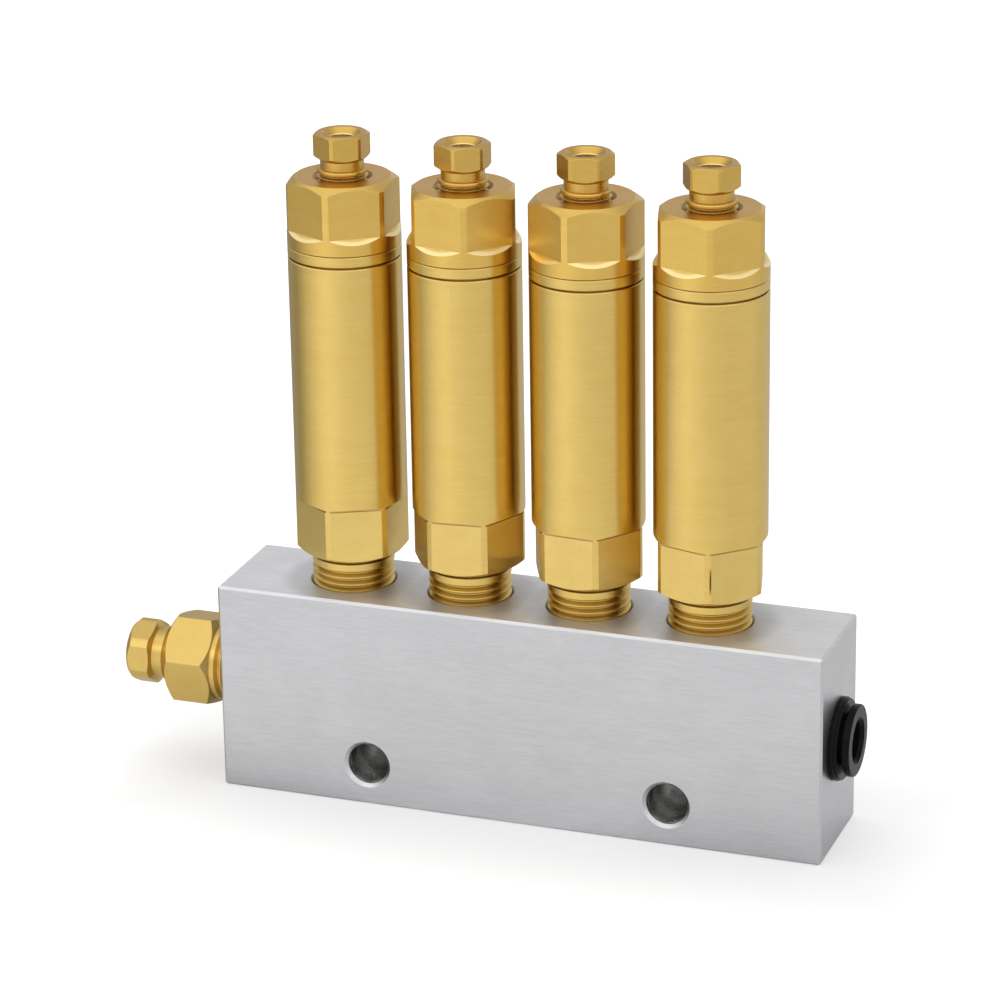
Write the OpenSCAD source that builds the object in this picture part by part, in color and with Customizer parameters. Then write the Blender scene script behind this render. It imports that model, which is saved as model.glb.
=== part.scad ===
// Single-line lubrication distributor: four piston metering valves screwed upright into a drilled bar.
// Millimetres, +Z up, +X along the bar. The origin is the centre of the bar's underside.

/* [Bar] */
// Length of the bar
block_l = 126; // [124:1:160]
// Depth of the bar, front to back
block_w = 25; // [24:0.5:40]
// Height of the bar
block_h = 43.5; // [42:0.5:60]
// Bevel along the bar's edges
block_bevel = 0.5; // [0.2:0.1:1.5]
// Bore of the long gallery through the bar
galley_d = 7; // [4:0.5:8]
// Height of the gallery's axis above the underside
galley_h = 22; // [21:0.1:24]
// Bore of the two fixing holes
fixing_d = 8.5; // [4.3:0.1:10]
// Distance between the fixing holes
fixing_spacing = 63; // [55:1:70]
// Height of the fixing holes above the underside
fixing_h = 8.6; // [8:0.1:11]
// Bevel at both mouths of a fixing hole
fixing_bevel = 0.7; // [0.3:0.1:1]

/* [Valve row] */
// Distance from one valve to the next
valve_pitch = 25; // [24:0.5:26.5]
// How far the row's middle stands from the bar's middle, along the bar
row_x = -1; // [-1.5:0.1:1]
// How far the row stands behind the bar's middle
row_y = 0.7; // [0:0.1:1]

/* [Valve body] */
// Diameter of the turned barrel, the collars and the hexagons' corners
barrel_d = 22.4; // [21.9:0.1:23]
// Height of the barrel's top above the bar
barrel_top = 68; // [64:0.5:90]
// Width across the flats of the body and cap hexagons
hex_flats = 20; // [19:0.1:20.8]
// Height of the body hexagon's underside above the bar
body_hex_z = 6.5; // [5:0.1:10]
// Height of the body hexagon's flats
body_hex_h = 11.5; // [8:0.1:14]
// Slope of the ledges under the cap's flats, in degrees
ledge_slope = 38; // [5:1:40]
// Slope of the ledges over the body's flats, in degrees
body_ledge_slope = 20; // [5:1:40]
// Depth of the line that the cutter leaves along the end of a body flat
cutter_mark = 0.18; // [0.05:0.01:0.3]
// Bevel on turned edges
edge_break = 0.2; // [0.1:0.05:0.4]

/* [Valve thread] */
// Diameter of the thread in the bar
thread_d = 16.5; // [15:0.1:18]
// Pitch of that thread
thread_pitch = 1.5; // [1:0.05:2]
// Length of thread in the bar
thread_in = 12; // [11.5:0.1:13]
// Height of the plain collar above the thread
thread_collar = 1.3; // [0.8:0.1:2]
// Height of the undercut between that collar and the hexagon
hex_undercut = 0.8; // [0.4:0.1:1.2]
// Clearance of a screwed joint, each side
thread_gap = 0.05; // [0.02:0.01:0.1]

/* [Metering piston] */
// Bore that the piston runs in
piston_bore = 12; // [10:0.1:13]
// Running clearance of the piston, each side
piston_gap = 0.05; // [0.02:0.01:0.09]
// Running clearance of the piston's seal, each side
seal_gap = 0.02; // [0.01:0.01:0.05]
// Travel of the piston
piston_stroke = 10; // [4:0.5:14]
// Length of the piston's head
piston_head = 12; // [10:0.5:14]
// Diameter of the piston's stem
stem_d = 6.4; // [5:0.1:7]
// Wire of the return spring
spring_wire = 1.4; // [1:0.1:1.6]
// Turns of the return spring
spring_turns = 7; // [4:1:9]
// Clearance of the spring at its outside
spring_gap = 0.6; // [0.3:0.1:1]

/* [Check cup] */
// Diameter of the chamber that holds the check cup
cup_bore = 9; // [8:0.1:10]
// Height of the check cup
cup_h = 1.8; // [1.4:0.1:2.2]
// Lift of the check cup
cup_lift = 1; // [0.5:0.1:1.2]
// Height of the check seat above the bar
cup_seat_z = 10; // [8:0.5:12]
// Bore of the feed passage under it
feed_d = 5; // [3:0.1:6]

/* [Dose ring] */
// Height of the ring that sets the dose
dose_ring_h = 2.6; // [1.5:0.1:6]
// Height of the open joint under the dose ring
joint_h = 0.35; // [0.1:0.05:0.5]
// Depth of the open joints above and below the dose ring
joint_depth = 0.8; // [0.4:0.1:1.2]

/* [Outlet cap] */
// Height of the cap above its ring
cap_h = 13.4; // [12.5:0.1:16]
// Height of the cap's round collar
cap_collar_h = 3.2; // [2:0.1:4]
// Diameter of the cap's flat top
cap_top_d = 18.9; // [17:0.1:19.5]
// Slope of the bevel round the cap's top, in degrees
cap_bevel = 36; // [20:1:45]
// Wall of the barrel and the dose ring round the cap's neck
neck_wall = 2.15; // [1.9:0.05:2.6]
// Length of that neck below the cap
cap_neck_l = 12; // [9:0.5:14]
// Section of the seal on that neck
cap_seal_d = 1.4; // [1:0.1:1.8]

/* [Outlet tube joint] */
// Bore for the outlet tube
tube_bore = 5.2; // [4.2:0.1:5.4]
// Diameter of the outlet nut's thread
nut_thread_d = 10; // [9:0.1:10.4]
// Pitch of that thread
nut_thread_pitch = 1; // [0.75:0.05:1.25]
// Width across the outlet nut's flats
nut_flats = 10; // [9.6:0.1:11]
// Diameter across the outlet nut's corners
nut_corners = 11.15; // [11.1:0.05:12]
// Height of the outlet nut's hexagon
nut_hex_h = 5.3; // [4:0.1:8]
// Gap between the cap and the outlet nut's hexagon
nut_stand = 3.4; // [2.5:0.1:5]
// Length of the outlet nut's thread in the cap
nut_thread_l = 7; // [6:0.5:8]
// Length of the cutting ring
cutting_ring_l = 4; // [3:0.1:5]

/* [Inlet fitting] */
// Width across the flats of the inlet adapter
adapter_flats = 17.4; // [16:0.1:18]
// Diameter across its corners
adapter_corners = 20; // [19:0.1:20.5]
// Gap between the bar's end and the adapter's hexagon
adapter_stand = 4.7; // [3:0.1:8]
// Length of the adapter's hexagon
adapter_hex_l = 9.8; // [8:0.1:14]
// Width across the flats of the inlet nut
inlet_flats = 12.4; // [12:0.1:13]
// Diameter across the inlet nut's corners
inlet_corners = 13.4; // [13.2:0.1:15]
// Length of the inlet nut's hexagon
inlet_hex_l = 5.5; // [5:0.1:9]
// Length of bare neck between the adapter and the inlet nut
inlet_neck_l = 4.2; // [3:0.1:6]
// Diameter of the inlet nut's thread
inlet_thread_d = 12; // [11.5:0.1:12.3]
// Pitch of that thread
inlet_thread_pitch = 1; // [0.75:0.05:1.25]
// Bore for the inlet tube
inlet_bore = 6.2; // [5.2:0.1:6.5]

/* [Push-in connector] */
// Bore for the pushed-in tube
push_bore = 8.3; // [6.2:0.1:8.4]
// Diameter of the connector's rim against the bar
push_rim_d = 16.7; // [16:0.1:18]
// Height of that rim over the bar's end face
push_rim_t = 1; // [0.6:0.1:1.2]
// Diameter of the step outside the rim
push_step_d = 16.2; // [15:0.1:17]
// Thickness of that step
push_step_t = 0.6; // [0.4:0.1:1]
// Diameter of the connector inside the bar
push_body_d = 14; // [13.6:0.1:15]
// Length of the connector inside the bar
push_body_l = 13; // [12:0.5:15]
// Diameter of the release sleeve's nose
sleeve_nose_d = 14.4; // [13:0.1:15.5]
// Length of that nose
sleeve_nose_l = 1.5; // [1:0.1:3]
// Travel of the release sleeve
sleeve_travel = 0.7; // [0.5:0.1:1]
// Running clearance of the release sleeve, each side
sleeve_gap = 0.05; // [0.02:0.01:0.1]

/* [Hidden] */
$fn = 96;
valves = 4;
// Each hexagon stops where its thread grows tight: the angle of one flat, from the front towards +X
body_turn = [26.4, 5.3, 55.1, 44.4];
cap_turn = [33.6, 49.9, 26.4, 45];
nut_turn = [30.2, 30.8, 15.1, 3.5];
// For the fittings on the bar's end it is the angle of one corner above the front
adapter_turn = 12.9;
inlet_turn = 34;

// Gap left at a stop, gap under a piece that rests on its seat, and how far a cutter runs past a face
stop_gap = 0.1;
seat_gap = 0.05;
past = 1;
// Depth of a thread as a share of its pitch
thread_form = 0.61;

// Heights on a valve, above the bar's top face
barrel_r = barrel_d / 2;
thread_r = thread_d / 2;
thread_depth = thread_form * thread_pitch;
undercut_z = body_hex_z - hex_undercut;
thread_collar_z = undercut_z - thread_collar;
cap_z = barrel_top + dose_ring_h;
cap_top = cap_z + cap_h;
neck_gap = 0.1;
neck_end_gap = 0.6;
neck_bore_d = barrel_d - 2 * neck_wall;
cap_neck_d = neck_bore_d - 2 * neck_gap;
neck_bore_l = cap_neck_l - dose_ring_h + neck_end_gap;
neck_bottom = cap_z - cap_neck_l;
cap_seal_z = neck_bottom + cap_seal_d;

cup_room = cup_h + cup_lift + 2 * stop_gap;
piston_z = cup_seat_z + cup_room + stop_gap;
shoulder_z = piston_z + piston_head;
spring_pocket_l = 4;
spring_seat_z = neck_bottom + spring_pocket_l;
stem_top = spring_seat_z - piston_stroke - seat_gap;
spring_d = piston_bore - 2 * spring_gap;
passage_d = 3;
transfer_d = 2.5;
piston_seal_w = 1.6;
piston_seal_h = 2.4;
piston_seal_z = piston_z + (piston_head - piston_seal_h) / 2;
seal_groove_d = piston_bore - 2 * piston_seal_w;

// How far a nut reaches over its cutting ring, and the depth of the bore past that ring
ring_overlap = 0.6;
tube_stop_l = 2;
// Slope at the foot of a nut's tapped hole
tap_slope = 0.2;

nut_thread_r = nut_thread_d / 2;
nut_thread_depth = thread_form * nut_thread_pitch;
nut_z = cap_top + nut_stand;
nut_relief_l = 1.6;
nut_relief_d = nut_thread_d - 1.4;
nut_bottom = cap_top - nut_thread_l;
outlet_ring_w = 1.2;
ring_room_d = tube_bore + 2 * outlet_ring_w;
ring_seat_z = nut_bottom - cutting_ring_l + ring_overlap;
tube_stop_z = ring_seat_z - tube_stop_l;

// Heights on the end fittings, outwards from the bar's end face
port_d = thread_d + 2 * thread_gap;
adapter_end = adapter_stand + adapter_hex_l;
inlet_thread_l = 7.5;
inlet_relief_l = 2.1;
inlet_thread_depth = thread_form * inlet_thread_pitch;
inlet_relief_d = inlet_thread_d - 2 * inlet_thread_depth;
inlet_z = adapter_end + inlet_neck_l;
inlet_bottom = adapter_end - inlet_thread_l;
inlet_ring_w = 1.4;
inlet_room_d = inlet_bore + 2 * inlet_ring_w;
inlet_seat_z = inlet_bottom - cutting_ring_l + ring_overlap;
inlet_stop_z = inlet_seat_z - tube_stop_l;

// The tube's seal, the grip ring and the release sleeve follow each other from the connector's floor out
push_floor_t = 1;
push_passage_d = 6;
push_socket_l = 2;
tube_seal_d = 2;
tube_seal_squeeze = 0.3;
grip_t = 0.4;
grip_lean = 0.8;
grip_edge = 0.3;
sleeve_wall = 1.05;
sleeve_bead = 0.4;
sleeve_bead_l = 1.2;
bead_gap = 0.15;
seal_room_z = push_floor_t + push_socket_l - push_body_l;
seal_room_r = push_bore / 2 + tube_seal_d - tube_seal_squeeze;
grip_room_r = seal_room_r + grip_edge;
grip_z = seal_room_z + tube_seal_d + grip_lean + 2 * stop_gap;
sleeve_end = grip_z + grip_t + sleeve_travel + stop_gap;
sleeve_tube_r = push_bore / 2 + sleeve_wall;
bead_room_r = sleeve_tube_r + sleeve_bead + bead_gap;
bead_stop_z = sleeve_end + sleeve_bead_l + seat_gap;
push_face_z = push_rim_t + push_step_t;
sleeve_nose_z = push_face_z + sleeve_travel + stop_gap;
sleeve_top = sleeve_nose_z + sleeve_nose_l;

brass = "#c9a24e";
brass_light = "#d8b96a";
aluminium = "#c4c5c8";
black_plastic = "#1c1c1e";
rubber = "#2b2b2b";
steel = "#8f9296";

// Places a valve's pieces: +Z up its axis, zero at the bar's top face
module at_valve(i, turn = 0) {
    translate([row_x + (i - (valves + 1) / 2) * valve_pitch, row_y, block_h])
        rotate([0, 0, turn - 90])
            children();
}

// Places the left fitting's pieces: +Z outwards, zero at the bar's end face
module at_left(turn = 0) {
    translate([-block_l / 2, 0, galley_h])
        rotate([0, -90, 0])
            rotate([0, 0, turn - 90])
                children();
}

// Places the right connector's pieces: +Z outwards, zero at the bar's end face
module at_right() {
    translate([block_l / 2, 0, galley_h])
        rotate([0, 90, 0])
            children();
}

// Turned piece, from its outline as radius and height
module turned(outline) {
    rotate_extrude()
        polygon(outline);
}

// V grooves of a thread, from height z down, as points of an outline read upwards
function thread_points(r, depth, pitch, z, grooves) =
    let (crest = 0.08 * pitch, root = 0.44 * pitch) [
        for (k = [grooves - 1:-1:0])
            each [
                [r, z - (k + 1) * pitch + crest],
                [r - depth, z - (k + 1) * pitch + root],
                [r - depth, z - k * pitch - root],
                [r, z - k * pitch - crest]
            ]
    ];

// Cutters that mill six flats between two heights, with a sloped run-out at either end.
// A mark is a fine line cut deeper along the upper end of each flat.
module mill_flats(flats, outer_d, z0, z1, slope0 = 0, slope1 = 0, mark = 0) {
    inner = flats / 2;
    outer = outer_d / 2 + past;
    for (k = [0:5])
        rotate([0, 0, 60 * k])
            rotate([90, 0, 0])
                linear_extrude(height = outer_d, center = true)
                    polygon(concat(
                        [
                            [inner, z0],
                            [outer, z0 - tan(slope0) * (outer - inner)],
                            [outer, z1 + tan(slope1) * (outer - inner)],
                            [inner - mark, z1 - tan(slope1) * mark]
                        ],
                        mark > 0 ? [[inner - mark, z1 - 2 * mark], [inner, z1 - 2 * mark]] : []
                    ));
}

// Box with every edge bevelled, centred on X and Y, standing on z = 0
module bevelled_bar(size, bevel) {
    module profile(a, b) {
        polygon([
            [-a / 2 + bevel, -b / 2], [a / 2 - bevel, -b / 2],
            [a / 2, -b / 2 + bevel], [a / 2, b / 2 - bevel],
            [a / 2 - bevel, b / 2], [-a / 2 + bevel, b / 2],
            [-a / 2, b / 2 - bevel], [-a / 2, -b / 2 + bevel]
        ]);
    }
    translate([0, 0, size.z / 2])
        intersection() {
            linear_extrude(height = size.z, center = true)
                profile(size.x, size.y);
            rotate([90, 0, 0])
                linear_extrude(height = size.y, center = true)
                    profile(size.x, size.z);
            rotate([90, 0, 90])
                linear_extrude(height = size.x, center = true)
                    profile(size.y, size.z);
        }
}

// Cutter that bevels the mouth of a hole at z = 0, for a hole that goes down
module mouth_bevel(d, bevel) {
    translate([0, 0, -bevel])
        cylinder(d1 = d, d2 = d + 2 * (bevel + past), h = bevel + past);
}

// Port with a flat floor and a bevelled mouth, cut below z = 0
module port(d, depth, bevel) {
    translate([0, 0, -depth])
        cylinder(d = d, h = depth + past);
    mouth_bevel(d, bevel);
}

// Hole for a fixing screw, right through from front to back
module fixing_hole() {
    rotate([90, 0, 0]) {
        cylinder(d = fixing_d, h = block_w + 2 * past, center = true);
        for (turn = [0, 180])
            rotate([turn, 0, 0])
                translate([0, 0, block_w / 2])
                    mouth_bevel(fixing_d, fixing_bevel);
    }
}

module manifold_block() {
    port_bevel = 0.45;
    color(aluminium)
        difference() {
            bevelled_bar([block_l, block_w, block_h], block_bevel);
            for (i = [1:valves])
                at_valve(i) {
                    port(port_d, thread_in, port_bevel);
                    translate([0, 0, galley_h - block_h])
                        cylinder(d = feed_d, h = block_h - galley_h);
                }
            at_left()
                port(port_d, thread_in, port_bevel);
            at_right() {
                translate([0, 0, -push_body_l])
                    cylinder(d = push_body_d, h = push_body_l + past);
                translate([0, 0, thread_in - block_l - past])
                    cylinder(d = galley_d, h = block_l - thread_in - push_body_l + 2 * past);
            }
            for (side = [-1, 1])
                translate([side * fixing_spacing / 2, 0, fixing_h])
                    fixing_hole();
        }
}

module valve_body(i) {
    grooves = floor((thread_collar_z + thread_depth / 2) / thread_pitch);
    washer_w = 0.9;
    hex_bevel = 30;
    hex_bevel_r = thread_r + washer_w;
    undercut_r = thread_r - thread_depth;
    color(brass)
        at_valve(i, body_turn[i - 1])
            difference() {
                turned(concat(
                    [
                        [0, -thread_in],
                        [thread_r - thread_depth, -thread_in],
                        [thread_r, thread_depth - thread_in]
                    ],
                    thread_points(thread_r, thread_depth, thread_pitch, thread_collar_z, grooves),
                    [
                        [thread_r, undercut_z],
                        [undercut_r, undercut_z],
                        [undercut_r, body_hex_z],
                        [hex_bevel_r, body_hex_z],
                        [barrel_r, body_hex_z + tan(hex_bevel) * (barrel_r - hex_bevel_r)],
                        [barrel_r, barrel_top - edge_break],
                        [barrel_r - edge_break, barrel_top],
                        [0, barrel_top]
                    ]
                ));
                mill_flats(
                    hex_flats, barrel_d, body_hex_z - past, body_hex_z + body_hex_h,
                    slope1 = body_ledge_slope, mark = cutter_mark
                );
                turned([
                    [0, -thread_in - past],
                    [feed_d / 2, -thread_in - past],
                    [feed_d / 2, cup_seat_z],
                    [cup_bore / 2, cup_seat_z],
                    [cup_bore / 2, cup_seat_z + cup_room],
                    [piston_bore / 2, cup_seat_z + cup_room],
                    [piston_bore / 2, barrel_top - neck_bore_l],
                    [neck_bore_d / 2, barrel_top - neck_bore_l],
                    [neck_bore_d / 2, barrel_top - edge_break],
                    [neck_bore_d / 2 + edge_break + past, barrel_top + past],
                    [0, barrel_top + past]
                ]);
            }
}

module dose_ring(i) {
    inner = neck_bore_d / 2;
    upper_gap = 0.12;
    color(brass)
        at_valve(i)
            turned([
                [inner, barrel_top],
                [barrel_r - joint_depth, barrel_top],
                [barrel_r - joint_depth, barrel_top + joint_h],
                [barrel_r - edge_break, barrel_top + joint_h],
                [barrel_r, barrel_top + joint_h + edge_break],
                [barrel_r, cap_z - upper_gap - edge_break],
                [barrel_r - edge_break, cap_z - upper_gap],
                [barrel_r - joint_depth, cap_z - upper_gap],
                [barrel_r - joint_depth, cap_z],
                [inner, cap_z]
            ]);
}

module outlet_cap(i) {
    neck_r = cap_neck_d / 2;
    groove_r = neck_bore_d / 2 - cap_seal_d;
    groove_h = 1.35 * cap_seal_d;
    recess_w = 0.85;
    tap_r = nut_thread_r + thread_gap;
    recess_r = tap_r + recess_w;
    color(brass)
        at_valve(i, cap_turn[i - 1])
            difference() {
                turned([
                    [0, neck_bottom],
                    [neck_r - edge_break, neck_bottom],
                    [neck_r, neck_bottom + edge_break],
                    [neck_r, cap_seal_z],
                    [groove_r, cap_seal_z],
                    [groove_r, cap_seal_z + groove_h],
                    [neck_r, cap_seal_z + groove_h],
                    [neck_r, cap_z],
                    [barrel_r - edge_break / 2, cap_z],
                    [barrel_r, cap_z + edge_break / 2],
                    [barrel_r, cap_top - tan(cap_bevel) * (barrel_r - cap_top_d / 2)],
                    [cap_top_d / 2, cap_top],
                    [0, cap_top]
                ]);
                mill_flats(hex_flats, barrel_d, cap_z + cap_collar_h, cap_top + past, slope0 = ledge_slope);
                turned([
                    [0, neck_bottom - past],
                    [piston_bore / 2, neck_bottom - past],
                    [piston_bore / 2, spring_seat_z],
                    [passage_d / 2, spring_seat_z],
                    [passage_d / 2, tube_stop_z],
                    [tube_bore / 2, tube_stop_z],
                    [tube_bore / 2, ring_seat_z],
                    [ring_room_d / 2, ring_seat_z],
                    [ring_room_d / 2, nut_bottom - ring_overlap],
                    [tap_r, nut_bottom - ring_overlap + tap_slope],
                    [tap_r, cap_top - recess_w],
                    [recess_r, cap_top],
                    [recess_r, cap_top + past],
                    [0, cap_top + past]
                ]);
            }
}

module outlet_nut(i) {
    bore_r = tube_bore / 2;
    relief_r = nut_relief_d / 2;
    corner_r = nut_corners / 2;
    funnel = 1.2;
    foot_cone_w = 1.1;
    foot_cone_l = 1.2;
    top_bevel_w = 0.75;
    top_bevel_h = 0.45;
    under_slope = 35;
    grooves = 3;
    crests_top = nut_z - nut_relief_l;
    bead_h = 0.45;
    bead_side = 0.3;
    bead_w = nut_thread_r - relief_r;
    bead_z = crests_top - bead_h;
    top = nut_z + nut_hex_h;
    color(brass_light)
        at_valve(i, nut_turn[i - 1])
            difference() {
                turned(concat(
                    [
                        [0, nut_bottom],
                        [nut_thread_r - nut_thread_depth, nut_bottom],
                        [nut_thread_r, nut_bottom + nut_thread_depth]
                    ],
                    thread_points(
                        nut_thread_r, nut_thread_depth, nut_thread_pitch, bead_z - bead_side, grooves
                    ),
                    // The last crest is left as a rounded bead
                    [for (a = [0:30:90]) [relief_r + bead_w * cos(a), bead_z + bead_h * sin(a)]],
                    [
                        [relief_r, nut_z],
                        [corner_r, nut_z + tan(under_slope) * (corner_r - relief_r)],
                        [corner_r, top - top_bevel_h],
                        [corner_r - top_bevel_w, top],
                        [0, top]
                    ]
                ));
                mill_flats(nut_flats, nut_corners, nut_z - stop_gap, top + past);
                nut_bore(bore_r, foot_cone_w, foot_cone_l, funnel, nut_bottom, top);
            }
}

// Bore of a nut: a cone at its foot for the cutting ring, and a funnel at its mouth for the tube
module nut_bore(bore_r, cone_w, cone_l, funnel, bottom, top) {
    turned([
        [0, bottom - past],
        [bore_r + cone_w, bottom - past],
        [bore_r + cone_w, bottom],
        [bore_r, bottom + cone_l],
        [bore_r, top - funnel],
        [bore_r + funnel, top],
        [bore_r + funnel, top + past],
        [0, top + past]
    ]);
}

// Ring with two tapered ends that bites into the tube when its nut is tightened
module cutting_ring(bore, room, bottom) {
    outer = room / 2 - stop_gap;
    edge_w = 0.35;
    lead_w = 0.3;
    lead_l = 0.2 * cutting_ring_l;
    taper_l = 0.4 * cutting_ring_l;
    turned([
        [bore / 2, bottom],
        [outer - lead_w, bottom],
        [outer, bottom + lead_l],
        [outer, bottom + cutting_ring_l - taper_l],
        [bore / 2 + edge_w, bottom + cutting_ring_l],
        [bore / 2, bottom + cutting_ring_l]
    ]);
}

module outlet_cutting_ring(i) {
    color(brass_light)
        at_valve(i)
            cutting_ring(tube_bore, ring_room_d, ring_seat_z);
}

// Ring of round rubber about the axis, a little slimmer than its room
module o_ring(r, d) {
    slack = 0.02;
    rotate_extrude()
        translate([r, 0])
            circle(d = d - slack, $fn = 32);
}

module cap_seal(i) {
    color(rubber)
        at_valve(i)
            translate([0, 0, cap_seal_z + cap_seal_d / 2])
                o_ring(neck_bore_d / 2 - cap_seal_d / 2, cap_seal_d);
}

module metering_piston(i) {
    head_r = piston_bore / 2 - piston_gap;
    head_bevel = 0.4;
    stem_bevel = 0.5;
    color(steel)
        at_valve(i)
            turned([
                [transfer_d / 2, piston_z],
                [head_r - head_bevel, piston_z],
                [head_r, piston_z + head_bevel],
                [head_r, piston_seal_z],
                [seal_groove_d / 2, piston_seal_z],
                [seal_groove_d / 2, piston_seal_z + piston_seal_h],
                [head_r, piston_seal_z + piston_seal_h],
                [head_r, shoulder_z],
                [stem_d / 2, shoulder_z],
                [stem_d / 2, stem_top - stem_bevel],
                [stem_d / 2 - stem_bevel, stem_top],
                [transfer_d / 2, stem_top]
            ]);
}

module piston_seal(i) {
    outer = piston_bore / 2 - seal_gap;
    inner = seal_groove_d / 2;
    top = piston_seal_z + piston_seal_h;
    lip_w = 0.4;
    lip_depth = 0.9;
    color(rubber)
        at_valve(i)
            turned([
                [inner, piston_seal_z],
                [outer, piston_seal_z],
                [outer, top],
                [outer - lip_w, top],
                [(inner + outer) / 2, top - lip_depth],
                [inner, top]
            ]);
}

module return_spring(i) {
    length = spring_seat_z - shoulder_z - 2 * seat_gap;
    pitch = (length - spring_wire) / spring_turns;
    wire = spring_wire / 2;
    coil_r = spring_d / 2 - wire;
    // A level cut through a round wire that climbs round the axis
    half_turn = 180 * spring_wire / pitch;
    step = half_turn / 2;
    side = [for (a = [-half_turn + step:step:half_turn - step / 2]) a];
    function half_width(a) = sqrt(max(0, wire * wire - pow(a * pitch / 360, 2)));
    level_cut = concat(
        [[coil_r * cos(-half_turn), coil_r * sin(-half_turn)]],
        [for (a = side) (coil_r + half_width(a)) * [cos(a), sin(a)]],
        [[coil_r * cos(half_turn), coil_r * sin(half_turn)]],
        [for (k = [len(side) - 1:-1:0]) (coil_r - half_width(side[k])) * [cos(side[k]), sin(side[k])]]
    );
    turns = length / pitch;
    color(steel)
        at_valve(i)
            translate([0, 0, shoulder_z + seat_gap])
                linear_extrude(height = length, twist = -360 * turns, slices = ceil(12 * turns), segments = 8)
                    polygon(level_cut);
}

module check_cup(i) {
    outer = cup_bore / 2 - piston_gap;
    hollow_h = 0.9;
    hollow_r = feed_d / 2 + 0.2;
    hollow_flare = 0.4;
    cup_bevel = 0.3;
    color(rubber)
        at_valve(i)
            translate([0, 0, cup_seat_z + seat_gap])
                turned([
                    [hollow_r + hollow_flare, 0],
                    [outer, 0],
                    [outer, cup_h - cup_bevel],
                    [outer - cup_bevel, cup_h],
                    [0, cup_h],
                    [0, hollow_h],
                    [hollow_r, hollow_h]
                ]);
}

module inlet_adapter() {
    grooves = floor(adapter_stand / thread_pitch);
    collar_l = 1;
    collar_z = adapter_stand - collar_l;
    corner_r = adapter_corners / 2;
    near_slope = 42;
    near_r = thread_r + 0.4;
    far_slope = 38;
    far_r = corner_r - 1.5;
    recess_w = 0.45;
    tap_r = inlet_thread_d / 2 + thread_gap;
    color(brass)
        at_left(adapter_turn)
            difference() {
                turned(concat(
                    [
                        [0, -thread_in],
                        [thread_r - thread_depth, -thread_in],
                        [thread_r, thread_depth - thread_in]
                    ],
                    thread_points(thread_r, thread_depth, thread_pitch, collar_z, grooves),
                    [
                        [thread_r, adapter_stand],
                        [near_r, adapter_stand],
                        [corner_r, adapter_stand + tan(near_slope) * (corner_r - near_r)],
                        [corner_r, adapter_end - tan(far_slope) * (corner_r - far_r)],
                        [far_r, adapter_end],
                        [0, adapter_end]
                    ]
                ));
                rotate([0, 0, 30])
                    mill_flats(adapter_flats, adapter_corners, adapter_stand - stop_gap, adapter_end + past);
                turned([
                    [0, -thread_in - past],
                    [passage_d + past, -thread_in - past],
                    [passage_d / 2, passage_d / 2 - thread_in],
                    [passage_d / 2, inlet_stop_z],
                    [inlet_bore / 2, inlet_stop_z],
                    [inlet_bore / 2, inlet_seat_z],
                    [inlet_room_d / 2, inlet_seat_z],
                    [inlet_room_d / 2, inlet_bottom - ring_overlap],
                    [tap_r, inlet_bottom - ring_overlap + tap_slope],
                    [tap_r, adapter_end - recess_w],
                    [tap_r + recess_w, adapter_end],
                    [tap_r + recess_w, adapter_end + past],
                    [0, adapter_end + past]
                ]);
            }
}

module inlet_nut() {
    bore_r = inlet_bore / 2;
    relief_r = inlet_relief_d / 2;
    corner_r = inlet_corners / 2;
    crest_r = inlet_thread_d / 2;
    funnel = 1.3;
    foot_cone_w = 1.2;
    foot_cone_l = 1.3;
    grooves = 4;
    crests_top = inlet_z - inlet_relief_l;
    run_out = 0.25;
    under_slope = 25;
    top_bevel_w = 0.95;
    top_bevel_h = 1.1;
    top = inlet_z + inlet_hex_l;
    color(brass_light)
        at_left(inlet_turn)
            difference() {
                turned(concat(
                    [
                        [0, inlet_bottom],
                        [crest_r - inlet_thread_depth, inlet_bottom],
                        [crest_r, inlet_bottom + inlet_thread_depth]
                    ],
                    thread_points(
                        crest_r, inlet_thread_depth, inlet_thread_pitch, crests_top - run_out, grooves
                    ),
                    [
                        [crest_r, crests_top - run_out],
                        [relief_r, crests_top],
                        [relief_r, inlet_z],
                        [corner_r, inlet_z + tan(under_slope) * (corner_r - relief_r)],
                        [corner_r, top - top_bevel_h],
                        [corner_r - top_bevel_w, top],
                        [0, top]
                    ]
                ));
                rotate([0, 0, 30])
                    mill_flats(inlet_flats, inlet_corners, inlet_z - stop_gap, top + past);
                nut_bore(bore_r, foot_cone_w, foot_cone_l, funnel, inlet_bottom, top);
            }
}

module inlet_cutting_ring() {
    color(brass_light)
        at_left()
            cutting_ring(inlet_bore, inlet_room_d, inlet_seat_z);
}

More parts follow.
